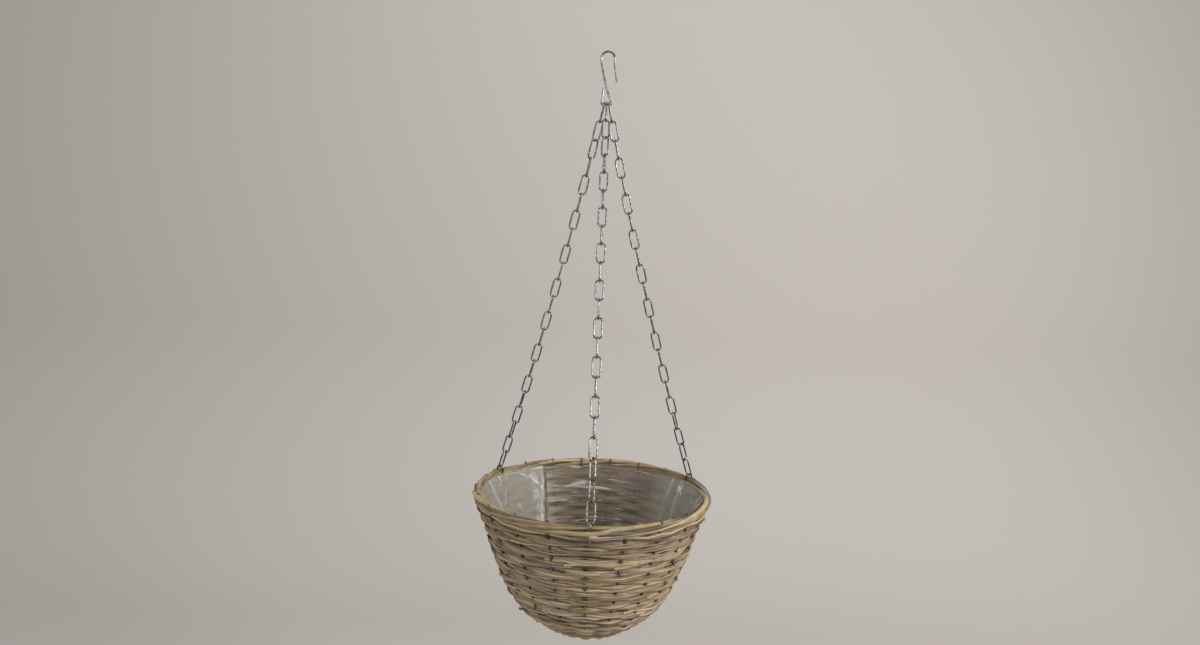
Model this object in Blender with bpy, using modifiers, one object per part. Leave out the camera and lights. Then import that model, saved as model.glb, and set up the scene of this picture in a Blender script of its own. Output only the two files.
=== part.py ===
"""Hanging willow basket on three link chains and a wire hook.

Metres, +Z up. The origin is the inside of the hook's crown, where a pin or a
bracket carries the whole basket. The front chain hangs towards -Y.
"""
import math

import bmesh
import bpy
from mathutils import Matrix, Vector

# Clearance between pieces that touch on the real basket.
GAP = 0.0003

# Hook: one length of bent wire.
HOOK_WIRE = 0.0025
HOOK_HEIGHT = 0.0611
CROOK_RADIUS = 0.0080
EYE_BEND = 0.0020
KINK_BEND = 0.0060
EYE_SIDE_PLAY = 0.00025
# Across as a share of the crook radius, down as a share of the hook height.
TIP_SHARE = (1.43, 0.556)
FRONT_KNEE_SHARE = (1.0, 0.208)
BACK_KNEE_SHARE = (-1.0, 0.191)
KINK_SHARE = (-0.82, 0.300)
STEM_SHARE = (-0.13, 0.668)
FREE_END_SHARE = (0.68, 0.686)

# Chains: welded long links, the same in all three.
LINKS = 23
LINK_WIRE = 0.0020
LINK_PITCH = 0.0220
LINK_SIDES = 6
BEND_CORNERS = 8
JOIN_OVERLAP = 0.0004
SAG = math.radians(2.8)
AZIMUTHS = {"left": -120.0, "front": 0.0, "right": 117.0}
# How far each chain is wound up, in degrees, at the link with that number.
WINDING = {
    "left": ((1, 0.0), (4, -80.0), (18, -95.0), (23, -120.0)),
    "front": ((1, 0.0), (4, 80.0), (18, 95.0), (23, 180.0)),
    "right": ((1, 0.0), (17, 0.0), (23, -63.0)),
}
# Links that lie almost in line are one node for two links, from 04 to 17.
FIRST_JOINED = 4
LAST_JOINED = 17
# A node that tilts less than this share of link 02's tilt only slides.
LEAST_TILT = 0.1

# Rim: three rods laid one on another inside the last link of each chain.
RIM_RADIUS = 0.1425
RIM_RODS = ("rim_rod_top", "rim_rod_middle", "rim_rod_lower")
ROD_SIDE_PLAY = 0.0005
SWAY_PLAY = 0.0011

# Woven wall and base.
WALL_THICK = 0.0065
WALL_SET_IN = 0.0015
WALL_HEIGHT = 0.1551
BASE_RADIUS = 0.0353
# Radius as a share of the way from the base's edge to the wall's top, and
# depth as a share of the wall's height.
WALL_SHARES = (
    (1.000, 0.000), (0.910, 0.139), (0.825, 0.333), (0.707, 0.526),
    (0.560, 0.720), (0.347, 0.861), (0.139, 0.958), (0.000, 1.000),
)
NOTCH_WIDTH = 0.0070
NOTCH_PLAY = 0.0012
# Weave: strands pass over one stake and under the next, in one spiral down
# the wall. The pitch is from one turn of the spiral to the next. A strand
# stands proud of the wall's profile outside a stake. Between two stakes, and
# where a strand goes inside one, the outside lies under the profile.
WEAVE_PITCH = 0.0070
STRAND_PROUD = 0.0005
STRAND_THICK = 0.0035
BAY_DEPTH = 0.0016
BAY_THICK = 0.0028
TUCK_DEPTH = 0.0015

# Wire stakes inside the weave, and the film liner inside the stakes.
STAKES = 21
STAKE_WIRE = 0.0020
STAKE_TURN = math.radians(-1.6)
HUB_RADIUS = 0.0110
HUB_COVER = 0.0001
HOOP_END = math.radians(-10.0)
HOOP_CLEARANCE = math.radians(5.0)
LINER_THICK = 0.0004
LINER_DROP = 0.0040

# Facets, and the distance within which corners are merged.
MERGE = GAP / 30
RING_STEPS = 3 * STAKES
LINER_STEPS = 2 * STAKES
WALL_COLUMNS = 2 * STAKES
CURVE_PARTS = 8
ROD_SIDES = 8
CROOK_STEPS = 12
SOLVE_ROUNDS = 12

# Surface looks: colour, metallic and roughness.
LOOKS = {
    "zinc_wire": ((0.45, 0.45, 0.44), 1.0, 0.38),
    "zinc_chain": ((0.50, 0.50, 0.49), 1.0, 0.34),
    "willow": ((0.165, 0.115, 0.072), 0.0, 0.72),
    "willow_rod": ((0.210, 0.150, 0.092), 0.0, 0.66),
    "stake_wire": ((0.12, 0.115, 0.11), 1.0, 0.50),
    "clear_film": ((0.72, 0.74, 0.75), 0.0, 0.12),
}

# Sizes that follow from the ones above.
BEND_FACET = math.cos(math.pi / BEND_CORNERS)
CONTACT = LINK_WIRE * BEND_FACET + GAP
ROD_SPACE = LINK_PITCH + GAP / 2 - LINK_WIRE - 1.5 * GAP - SWAY_PLAY
ROD_WIRE = (ROD_SPACE - (len(RIM_RODS) - 1) * GAP) / len(RIM_RODS)
LINK_WIDTH = ROD_WIRE + 2 * ROD_SIDE_PLAY + LINK_WIRE
BAR_TO_CONTACT = (HOOK_WIRE + GAP) / 2
CONTACT_TO_ROD = LINK_WIRE + 1.5 * GAP + ROD_WIRE / 2
BAR_CENTRE = Vector((0.0, 0.0, -HOOK_HEIGHT))
LEG_INSIDE = RIM_RADIUS - LINK_WIDTH / 2 - LINK_WIRE / 2
STAKE_RADIUS = LEG_INSIDE + STAKE_WIRE / 2
LINER_RADIUS = LEG_INSIDE - GAP


def clear_scene():
    for item in list(bpy.data.objects):
        bpy.data.objects.remove(item, do_unlink=True)


def make_collection(name):
    collection = bpy.data.collections.new(name)
    bpy.context.scene.collection.children.link(collection)
    return collection


def make_material(name):
    colour, metallic, roughness = LOOKS[name]
    material = bpy.data.materials.new(name)
    material.use_nodes = True
    shader = material.node_tree.nodes["Principled BSDF"]
    shader.inputs["Base Color"].default_value = (*colour, 1.0)
    shader.inputs["Metallic"].default_value = metallic
    shader.inputs["Roughness"].default_value = roughness
    material.diffuse_color = (*colour, 1.0)
    return material


def add_object(name, mesh, material, collection):
    item = bpy.data.objects.new(name, mesh)
    collection.objects.link(item)
    if material is not None:
        mesh.materials.clear()
        mesh.materials.append(material)
    return item


def evaluated_mesh(item):
    """The object's mesh with its curve bevel or its modifiers applied."""
    graph = bpy.context.evaluated_depsgraph_get()
    return bpy.data.meshes.new_from_object(item.evaluated_get(graph), depsgraph=graph)


def smooth(mesh):
    mesh.shade_smooth()
    mesh.set_sharp_from_angle(angle=math.radians(40.0))


def wire_mesh(name, points, diameter, sides, cyclic, tilt=0.0):
    """Round wire bent along the points, as a closed mesh."""
    curve = bpy.data.curves.new(name, "CURVE")
    curve.dimensions = "3D"
    curve.bevel_depth = diameter / 2
    curve.bevel_resolution = (sides - 4) // 2
    curve.use_fill_caps = True
    spline = curve.splines.new("POLY")
    spline.points.add(len(points) - 1)
    for point, place in zip(spline.points, points):
        point.co = (*place, 1.0)
        point.tilt = tilt
    spline.use_cyclic_u = cyclic
    item = bpy.data.objects.new(name, curve)
    bpy.context.scene.collection.objects.link(item)
    mesh = evaluated_mesh(item)
    bpy.data.objects.remove(item, do_unlink=True)
    shape = bmesh.new()
    shape.from_mesh(mesh)
    bmesh.ops.remove_doubles(shape, verts=shape.verts, dist=MERGE)
    bmesh.ops.recalc_face_normals(shape, faces=shape.faces)
    shape.to_mesh(mesh)
    shape.free()
    mesh.name = name
    smooth(mesh)
    return mesh


def rounded(points, bends, turn=math.radians(30.0)):
    """Polyline with an arc of the given radius at each inner corner."""
    path = [Vector(points[0])]
    for index in range(1, len(points) - 1):
        corner = Vector(points[index])
        before = (corner - Vector(points[index - 1])).normalized()
        after = (Vector(points[index + 1]) - corner).normalized()
        angle = before.angle(after)
        bend = bends[index]
        if bend <= 0.0 or angle < turn / 4:
            path.append(corner)
            continue
        reach = bend * math.tan(angle / 2)
        start = corner - before * reach
        inward = (after - before * before.dot(after)).normalized()
        centre = start + inward * bend
        steps = max(1, math.ceil(angle / turn))
        for step in range(steps + 1):
            swing = angle * step / steps
            path.append(centre - inward * (bend * math.cos(swing)) + before * (bend * math.sin(swing)))
    path.append(Vector(points[-1]))
    return path


# Chain lines

def link_spread(index):
    """How far a link leans from its chain's mean line; index 0 is link 01."""
    middle = (LINKS - 2) / 2
    return SAG * (index - middle) / middle


def bar_place(side):
    """Where a chain's first link crosses the eye's bar, along X."""
    lean = math.asin(RIM_RADIUS / (LINK_PITCH * (LINKS - 1))) - SAG
    rise = (HOOK_WIRE + LINK_WIRE) / 2 + GAP
    sideways = abs(math.sin(math.radians(AZIMUTHS[side])))
    if side == "front":
        return 0.0
    place = (LINK_WIRE + GAP) / math.cos(lean) + rise * math.sin(lean) * sideways
    return math.copysign(place, AZIMUTHS[side])


def rim_point(side, radius=RIM_RADIUS):
    azimuth = math.radians(AZIMUTHS[side])
    return Vector((radius * math.sin(azimuth), -radius * math.cos(azimuth), 0.0))


def chain_shape(side, drop=None):
    """Mean lean, pitch and drop of a chain from the bar to its last link.

    The front chain keeps the stated pitch, which settles the drop. A side
    chain's pitch is a few hundredths of a millimetre shorter, so that all
    three last links hang level.
    """
    start = Vector((bar_place(side), 0.0, 0.0))
    across = (rim_point(side) - start).length
    length = sum(math.cos(link_spread(index)) for index in range(LINKS - 1))
    mean = math.asin(across / (LINK_PITCH * length))
    pitch = LINK_PITCH
    for _ in range(SOLVE_ROUNDS):
        first = mean + link_spread(0)
        full_across = across + BAR_TO_CONTACT * math.sin(first)
        if drop is None:
            mean = math.asin(full_across / (pitch * length))
        else:
            full_down = drop + BAR_TO_CONTACT * math.cos(first)
            mean = math.atan2(full_across, full_down)
            pitch = math.hypot(full_across, full_down) / length
    first = mean + link_spread(0)
    down = pitch * length * math.cos(mean) - BAR_TO_CONTACT * math.cos(first)
    return mean, pitch, down


def winding(side, number):
    stops = WINDING[side]
    for (low, start), (high, end) in zip(stops, stops[1:]):
        if number <= high:
            return math.radians(start + (end - start) * (number - low) / (high - low))
    return math.radians(stops[-1][1])


def chain_frames(side, drop):
    """A frame for each link: origin at its upper contact, -Z down the chain, X across it."""
    mean, pitch, _ = chain_shape(side, drop)
    start = BAR_CENTRE + Vector((bar_place(side), 0.0, 0.0))
    level = (rim_point(side) - Vector((start.x, 0.0, 0.0))).normalized()
    frames = []
    place = None
    for number in range(1, LINKS + 1):
        if number < LINKS:
            lean = mean + link_spread(number - 1)
            down = level * math.sin(lean) - Vector((0.0, 0.0, 1.0)) * math.cos(lean)
            flat = Vector((0.0, 1.0, 0.0))
            flat = (flat - down * flat.dot(down)).normalized()
            turn = math.radians(90.0 * (number - 1)) + winding(side, number)
            across = flat * math.cos(turn) + flat.cross(down) * math.sin(turn)
        else:
            down = Vector((0.0, 0.0, -1.0))
            across = rim_point(side).normalized()
        if place is None:
            place = start - down * BAR_TO_CONTACT
        up = -down
        frame = Matrix((across, up.cross(across), up)).transposed().to_4x4()
        frame.translation = place
        frames.append(frame)
        place = place + down * pitch
    return frames, pitch


def link_points(pitch, lowered=0.0):
    """Centreline of a link: two half-octagon ends, flat where links touch."""
    half = LINK_WIDTH / 2
    corner = half / BEND_FACET
    upper = CONTACT / 2 - lowered - half
    lower = -pitch - CONTACT / 2 + half
    points = []
    for index in range(BEND_CORNERS):
        angle = 2 * math.pi * (index + 0.5) / BEND_CORNERS
        height = upper if index < BEND_CORNERS / 2 else lower
        points.append(Vector((corner * math.cos(angle), 0.0, height + corner * math.sin(angle))))
    return points


def link_mesh(name, pitch, lowered=0.0):
    return wire_mesh(name, link_points(pitch, lowered), LINK_WIRE, LINK_SIDES, True)


def joined_link_mesh(name, pitch, upper, lower, cutters):
    """Two links as one body: the lower one's upper bend rests in the upper one's wire."""
    lowered = GAP + JOIN_OVERLAP
    first = bpy.data.objects.new(name + "_upper", link_mesh(name, pitch))
    second = bpy.data.objects.new(name + "_lower", link_mesh(name, pitch, lowered))
    for item in (first, second):
        cutters.objects.link(item)
    second.matrix_world = upper.inverted() @ lower
    union = first.modifiers.new("second_link", "BOOLEAN")
    union.operation = "UNION"
    union.object = second
    bpy.context.view_layer.update()
    mesh = evaluated_mesh(first)
    for item in (first, second):
        bpy.data.objects.remove(item, do_unlink=True)
    mesh.name = name
    smooth(mesh)
    return mesh


def link_groups(side):
    """(node name, first link, last link) down a chain; link 01 comes first."""
    groups = []
    number = 1
    while number <= LINKS:
        if FIRST_JOINED <= number < LAST_JOINED:
            groups.append(("{}_link_{:02d}_{:02d}".format(side, number, number + 1), number, number + 1))
            number += 2
        else:
            groups.append(("{}_link_{:02d}".format(side, number), number, number))
            number += 1
    return groups


def sway_motion(side, drop, middle_rod):
    """How a plucked chain moves sideways: half a sine wave from link 01 to the rim.

    For each moving node it gives the tilt and the sideways travel for a unit
    tilt of link 02, and the place on the chain's line that the node turns
    about. A node that hardly tilts has no such place, and slides.
    """
    frames, _ = chain_frames(side, drop)
    mean = chain_shape(side, drop)[0]
    start = BAR_CENTRE + Vector((bar_place(side), 0.0, 0.0))
    level = (rim_point(side) - Vector((start.x, 0.0, 0.0))).normalized()
    line = level * math.sin(mean) - Vector((0.0, 0.0, 1.0)) * math.cos(mean)
    axis = level * math.cos(mean) + Vector((0.0, 0.0, 1.0)) * math.sin(mean)
    groups = link_groups(side)[1:]
    end = rim_point(side) + Vector((0.0, 0.0, middle_rod))
    first = frames[1].translation
    stops = [(frames[number - 1].translation - first).dot(line) for _, number, _ in groups]
    stops.append((end - first).dot(line))
    waves = [math.sin(math.pi * stop / stops[-1]) for stop in stops]
    slopes = [(waves[i + 1] - waves[i]) / (stops[i + 1] - stops[i]) for i in range(len(groups))]
    moves = []
    for index, (name, _, _) in enumerate(groups):
        tilt = slopes[index] / slopes[0]
        travel = (waves[index] + waves[index + 1]) / (2 * slopes[0])
        if abs(tilt) > LEAST_TILT:
            place = first + line * (stops[index] - waves[index] / slopes[index])
        else:
            place = None
        moves.append((name, tilt, travel, place))
    return moves, axis, axis.cross(line)


def build_chain(side, drop, middle_rod, collection, cutters, swing_axis, turn_axis):
    frames, pitch = chain_frames(side, drop)
    single = link_mesh(side + "_link", pitch)
    material = make_material("zinc_chain")
    material.name = side + "_chain_zinc"
    moves, _, _ = sway_motion(side, drop, middle_rod)
    places = {name: place for name, _, _, place in moves}
    for name, number, last in link_groups(side):
        frame = frames[number - 1]
        mesh = single
        if last > number:
            mesh = joined_link_mesh(name, pitch, frame, frames[last - 1], cutters)
        item = add_object(name, mesh, material, collection)
        if number == 1:
            axis = swing_axis
        elif places[name] is None:
            axis = turn_axis
        else:
            axis = make_axis(name + "_axis", places[name], turn_axis)
        bpy.context.view_layer.update()
        item.parent = axis
        item.matrix_parent_inverse = axis.matrix_world.inverted()
        item.matrix_world = frame


# Hook

def hook_point(share, across=CROOK_RADIUS):
    return Vector((share[0] * across, 0.0, -share[1] * HOOK_HEIGHT))


def build_hook(collection):
    eye_half = bar_place("right") + LINK_WIRE / 2 + EYE_SIDE_PLAY + EYE_BEND
    crook_centre = Vector((0.0, 0.0, HOOK_WIRE / 2 - CROOK_RADIUS))
    points = [hook_point(TIP_SHARE), hook_point(FRONT_KNEE_SHARE)]
    bends = [0.0, KINK_BEND]
    for step in range(CROOK_STEPS + 1):
        angle = math.pi * step / CROOK_STEPS
        points.append(crook_centre + Vector((math.cos(angle), 0.0, math.sin(angle))) * CROOK_RADIUS)
        bends.append(0.0)
    points += [hook_point(BACK_KNEE_SHARE), hook_point(KINK_SHARE), hook_point(STEM_SHARE)]
    bends += [KINK_BEND, KINK_BEND, 0.0]
    points += [BAR_CENTRE + Vector((eye_half, 0.0, 0.0)), BAR_CENTRE - Vector((eye_half, 0.0, 0.0))]
    bends += [EYE_BEND, EYE_BEND]
    points.append(hook_point((-FREE_END_SHARE[0], FREE_END_SHARE[1]), eye_half))
    bends.append(0.0)
    mesh = wire_mesh("hook", rounded(points, bends), HOOK_WIRE, ROD_SIDES, False)
    add_object("hook", mesh, make_material("zinc_wire"), collection)


# Basket

def outer_profile(top):
    """The wall's outside from its top to the base's edge, then to the axis."""
    rise = RIM_RADIUS - WALL_SET_IN - BASE_RADIUS
    line = [(BASE_RADIUS + share * rise, top - depth * WALL_HEIGHT) for share, depth in WALL_SHARES]
    line.append((0.0, top - WALL_HEIGHT))
    return [Vector(place) for place in line]


def inset(line, distance):
    """The line moved inwards by a distance square to itself."""
    normals = []
    for start, end in zip(line, line[1:]):
        along = (end - start).normalized()
        normals.append(Vector((along.y, -along.x)))
    moved = [line[0] + normals[0] * distance]
    for index in range(1, len(line) - 1):
        both = (normals[index - 1] + normals[index]).normalized()
        moved.append(line[index] + both * (distance / both.dot(normals[index])))
    moved.append(line[-1] + normals[-1] * distance)
    return moved


def at_height(start, end, height):
    share = (height - start.y) / (end.y - start.y)
    return start + (end - start) * share


def at_radius(start, end, radius):
    share = (radius - start.x) / (end.x - start.x)
    return start + (end - start) * share


def bowl_line(top, distance, top_radius, top_height):
    """A line inside the wall, carried on up past the wall's top to a height."""
    moved = inset(outer_profile(top), distance)
    knee = at_radius(moved[0], moved[1], top_radius)
    return [Vector((top_radius, top_height)), knee] + moved[1:]


def curved(points):
    """A smooth line through the points, in short straight parts."""
    line = []
    for index in range(len(points) - 1):
        before, start = points[max(index - 1, 0)], points[index]
        end, after = points[index + 1], points[min(index + 2, len(points) - 1)]
        for part in range(CURVE_PARTS):
            share = part / CURVE_PARTS
            bend = 2 * before - 5 * start + 4 * end - after
            twist = 3 * start - before - 3 * end + after
            line.append((2 * start + (end - before) * share + bend * share ** 2 + twist * share ** 3) / 2)
    line.append(points[-1])
    return line


def along_line(line, run):
    """The place and outward normal at a length from the start of a line."""
    for start, end in zip(line, line[1:]):
        length = (end - start).length
        if run <= length + MERGE:
            along = (end - start) / length
            return start + along * run, Vector((-along.y, along.x))
        run -= length
    return line[-1], Vector((0.0, -1.0))


def turned(name, line, closed, steps, material, collection):
    """A profile in the XZ plane turned about Z."""
    mesh = bpy.data.meshes.new(name)
    shape = bmesh.new()
    corners = [shape.verts.new((place.x, 0.0, place.y)) for place in line]
    for start, end in zip(corners, corners[1:]):
        shape.edges.new((start, end))
    if closed:
        shape.edges.new((corners[-1], corners[0]))
    shape.to_mesh(mesh)
    shape.free()
    item = add_object(name, mesh, material, collection)
    screw = item.modifiers.new("turn", "SCREW")
    screw.axis = "Z"
    screw.angle = 2 * math.pi
    screw.steps = steps
    screw.render_steps = steps
    screw.use_merge_vertices = True
    screw.merge_threshold = MERGE
    return item


def first_stake_angle():
    """Direction of the stake beside the front chain, turned from +X."""
    return -math.pi / 2 + STAKE_TURN


def line_length(line):
    return sum((end - start).length for start, end in zip(line, line[1:]))


def woven_point(line, turns, column, row, depths):
    """A corner of the weave's spiral grid: stakes are on the even columns.

    Rows alternate between outside and inside a stake, and a row that is
    outside one stake is inside the next. The depths are under the line, where
    a strand is outside a stake, between stakes and inside one, and die away at
    both edges.
    """
    turn = row + column / WALL_COLUMNS
    share = min(max(turn / turns, 0.0), 1.0)
    over = round(math.cos(math.pi * STAKES * turn))
    fade = min(1.0, share * turns, (1.0 - share) * turns)
    place, normal = along_line(line, share * line_length(line))
    place = place - normal * (fade * depths[1 - over])
    angle = 2 * math.pi * column / WALL_COLUMNS
    return Vector((place.x * math.cos(angle), place.x * math.sin(angle), place.y))


def woven_side(shape, line, turns, depths):
    """One side of the weave, with a corner a row at each stake.

    Between stakes the corners lie on one smooth line, so every second row has
    one, where the strand is outside the stake before it.
    """
    def corner(column, row):
        return woven_point(line, turns, column, row, depths)

    for bay in range(STAKES):
        for row in range(-2 - bay % 2, math.ceil(turns), 2):
            high, low = [corner(2 * bay + 1, row + step) for step in (0, 2)]
            for column in (2 * bay, 2 * bay + 2):
                start, middle, end = [corner(column, row + step) for step in range(3)]
                for corners in ((start, middle, high), (middle, low, high), (middle, end, low)):
                    shape.faces.new([shape.verts.new(place) for place in corners])


def woven_mesh(outside, inside):
    """The wall: a spiral of strands outside and inside, with plain edges."""
    outer, inner = curved(outside), curved(inside)
    turns = line_length(outer) / WEAVE_PITCH
    shape = bmesh.new()
    woven_side(shape, outer, turns, (-STRAND_PROUD, BAY_DEPTH, TUCK_DEPTH))
    behind_strand = STRAND_THICK - STRAND_PROUD - WALL_THICK
    woven_side(shape, inner, turns, (behind_strand, BAY_DEPTH + BAY_THICK - WALL_THICK, 0.0))
    for edge in (0, -1):
        for column in range(WALL_COLUMNS):
            sides = [Matrix.Rotation(2 * math.pi * at / WALL_COLUMNS, 3, "Z") for at in (column, column + 1)]
            high, low = [Vector((line[edge].x, 0.0, line[edge].y)) for line in (outer, inner)]
            corners = (sides[0] @ high, sides[0] @ low, sides[1] @ low, sides[1] @ high)
            shape.faces.new([shape.verts.new(place) for place in corners])
    bmesh.ops.remove_doubles(shape, verts=shape.verts, dist=MERGE)
    bmesh.ops.triangulate(shape, faces=shape.faces)
    bmesh.ops.recalc_face_normals(shape, faces=shape.faces)
    mesh = bpy.data.meshes.new("woven_wall")
    shape.to_mesh(mesh)
    shape.free()
    return mesh


def build_wall(top, link_bottom, collection, cutters):
    outside = outer_profile(top)
    inside = inset(outside, WALL_THICK)
    inner_top = at_height(inside[0], inside[1], top)
    inner_edge = at_radius(inside[-3], inside[-2], BASE_RADIUS)
    mesh = woven_mesh(outside[:-1], [inner_top] + inside[1:-2] + [inner_edge])
    wall = add_object("woven_wall", mesh, make_material("willow"), collection)
    wall.rotation_euler.z = first_stake_angle()
    floor = link_bottom - NOTCH_PLAY
    height = 2 * (top - floor)
    for side in AZIMUTHS:
        bpy.ops.mesh.primitive_cube_add(size=1.0)
        cutter = bpy.context.object
        cutter.name = side + "_notch_cutter"
        for owner in list(cutter.users_collection):
            owner.objects.unlink(cutter)
        cutters.objects.link(cutter)
        cutter.scale = (4 * WALL_THICK, NOTCH_WIDTH, height)
        cutter.rotation_euler.z = math.radians(AZIMUTHS[side]) - math.pi / 2
        cutter.location = rim_point(side) + Vector((0.0, 0.0, floor + height / 2))
        cutter.hide_render = True
        cutter.display_type = "WIRE"
        notch = wall.modifiers.new(side + "_notch", "BOOLEAN")
        notch.operation = "DIFFERENCE"
        notch.object = cutter
    return wall


def build_base(top, collection):
    bottom = top - WALL_HEIGHT
    bpy.ops.mesh.primitive_cylinder_add(
        vertices=WALL_COLUMNS, radius=BASE_RADIUS - GAP, depth=WALL_THICK,
        location=(0.0, 0.0, bottom + WALL_THICK / 2), rotation=(0.0, 0.0, first_stake_angle()))
    base = bpy.context.object
    base.name = "woven_base"
    base.data.name = "woven_base"
    base.data.materials.append(make_material("willow"))
    for owner in list(base.users_collection):
        owner.objects.unlink(base)
    collection.objects.link(base)
    smooth(base.data)
    return base


def build_rods(first_rod, collection):
    rods = []
    for index, name in enumerate(RIM_RODS):
        bpy.ops.mesh.primitive_torus_add(
            major_segments=RING_STEPS, minor_segments=ROD_SIDES,
            major_radius=RIM_RADIUS, minor_radius=ROD_WIRE / 2,
            location=(0.0, 0.0, first_rod - index * (ROD_WIRE + GAP)))
        rod = bpy.context.object
        rod.name = name
        rod.data.name = name
        rod.data.materials.append(make_material("willow_rod"))
        for owner in list(rod.users_collection):
            owner.objects.unlink(rod)
        collection.objects.link(rod)
        smooth(rod.data)
        rods.append(rod)
    return rods


def stake_points(top, first_rod, hooped):
    """One stake, from its upper end to the hub, in the XZ plane.

    A hooped stake is bent over the rim and ends outside it. The others stop
    beside the top rod.
    """
    bend = RIM_RADIUS - STAKE_RADIUS
    corner = bend / BEND_FACET
    centre = Vector((RIM_RADIUS, first_rod))
    inner = bowl_line(top, WALL_THICK + GAP + STAKE_WIRE / 2, STAKE_RADIUS, first_rod)
    if hooped:
        line = [centre + Vector((math.cos(HOOP_END), math.sin(HOOP_END))) * bend]
        for index in range(BEND_CORNERS // 2):
            angle = 2 * math.pi * (index + 0.5) / BEND_CORNERS
            line.append(centre + Vector((math.cos(angle), math.sin(angle))) * corner)
        line += inner[1:-1]
    else:
        line = inner[:-1]
    line.append(Vector((HUB_RADIUS - STAKE_WIRE / 2, inner[-1].y)))
    return [Vector((place.x, 0.0, place.y)) for place in line], inner[-1].y


def beside_a_chain(angle):
    """Whether a stake at this angle from +X stands next to a chain's last link."""
    for azimuth in AZIMUTHS.values():
        apart = angle - (math.radians(azimuth) - math.pi / 2)
        if abs(math.remainder(apart, 2 * math.pi)) < HOOP_CLEARANCE:
            return True
    return False


def build_cage(top, first_rod, collection, cutters):
    points, hub_height = stake_points(top, first_rod, True)
    hooped = wire_mesh("hooped_stake", points, STAKE_WIRE, LINK_SIDES, False)
    points, _ = stake_points(top, first_rod, False)
    plain = wire_mesh("plain_stake", points, STAKE_WIRE, LINK_SIDES, False)
    wires = bpy.data.meshes.new("stakes")
    shape = bmesh.new()
    for index in range(STAKES):
        angle = first_stake_angle() + 2 * math.pi * index / STAKES
        copy = plain.copy() if beside_a_chain(angle) else hooped.copy()
        copy.transform(Matrix.Rotation(angle, 4, "Z"))
        shape.from_mesh(copy)
        bpy.data.meshes.remove(copy)
    shape.to_mesh(wires)
    shape.free()
    operand = add_object("stakes_operand", wires, None, cutters)
    operand.hide_render = True
    operand.display_type = "WIRE"
    bpy.ops.mesh.primitive_cylinder_add(
        vertices=2 * STAKES, radius=HUB_RADIUS, depth=STAKE_WIRE + 2 * HUB_COVER,
        location=(0.0, 0.0, hub_height))
    cage = bpy.context.object
    cage.name = "stake_cage"
    cage.data.name = "stake_cage"
    cage.data.materials.append(make_material("stake_wire"))
    for owner in list(cage.users_collection):
        owner.objects.unlink(cage)
    collection.objects.link(cage)
    union = cage.modifiers.new("stakes", "BOOLEAN")
    union.operation = "UNION"
    union.object = operand
    return cage


def build_liner(top, rim_top, collection):
    outer_distance = WALL_THICK + 2 * GAP + STAKE_WIRE
    edge = rim_top - LINER_DROP
    outer = bowl_line(top, outer_distance, LINER_RADIUS, edge)
    inner = bowl_line(top, outer_distance + LINER_THICK, LINER_RADIUS - LINER_THICK, edge)
    profile = list(reversed(inner)) + outer
    liner = turned("liner", profile, False, LINER_STEPS, make_material("clear_film"), collection)
    liner.rotation_euler.z = first_stake_angle()
    return liner


def make_axis(name, place, parent=None):
    """An empty on a joint's axis, at a place in the world."""
    axis = bpy.data.objects.new(name, None)
    bpy.context.scene.collection.objects.link(axis)
    axis.empty_display_size = CROOK_RADIUS
    axis.location = place
    if parent is not None:
        axis.parent = parent
        axis.location = Vector(place) - parent.matrix_world.translation
    return axis


def main():
    clear_scene()
    collection = make_collection("hanging_willow_basket")
    cutters = make_collection("cutters")
    swing_axis = make_axis("swing_axis", BAR_CENTRE)
    turn_axis = make_axis("turn_axis", BAR_CENTRE, swing_axis)
    bpy.context.view_layer.update()

    build_hook(collection)
    drop = chain_shape("front")[2]
    last_contact = -HOOK_HEIGHT - drop
    first_rod = last_contact - CONTACT_TO_ROD
    middle_rod = first_rod - ROD_WIRE - GAP
    for side in AZIMUTHS:
        build_chain(side, drop, middle_rod, collection, cutters, swing_axis, turn_axis)

    rods_below = (len(RIM_RODS) - 1) * (ROD_WIRE + GAP)
    top = first_rod - rods_below - ROD_WIRE / 2 - GAP
    link_bottom = last_contact - LINK_PITCH - CONTACT / 2 - LINK_WIRE / 2
    pieces = build_rods(first_rod, collection)
    pieces.append(build_wall(top, link_bottom, collection, cutters))
    pieces.append(build_base(top, collection))
    pieces.append(build_cage(top, first_rod, collection, cutters))
    pieces.append(build_liner(top, first_rod + ROD_WIRE / 2, collection))
    bpy.context.view_layer.update()
    for piece in pieces:
        place = piece.matrix_world.copy()
        piece.parent = turn_axis
        piece.matrix_parent_inverse = turn_axis.matrix_world.inverted()
        piece.matrix_world = place


main()
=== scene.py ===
"""Hanging willow basket: looks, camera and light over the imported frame.

Metres, +Z up, the origin inside the hook's crown, the front chain towards -Y.
"""

import math
import random
from collections import namedtuple

import bmesh
import bpy
from mathutils import Matrix, Vector, noise


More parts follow.
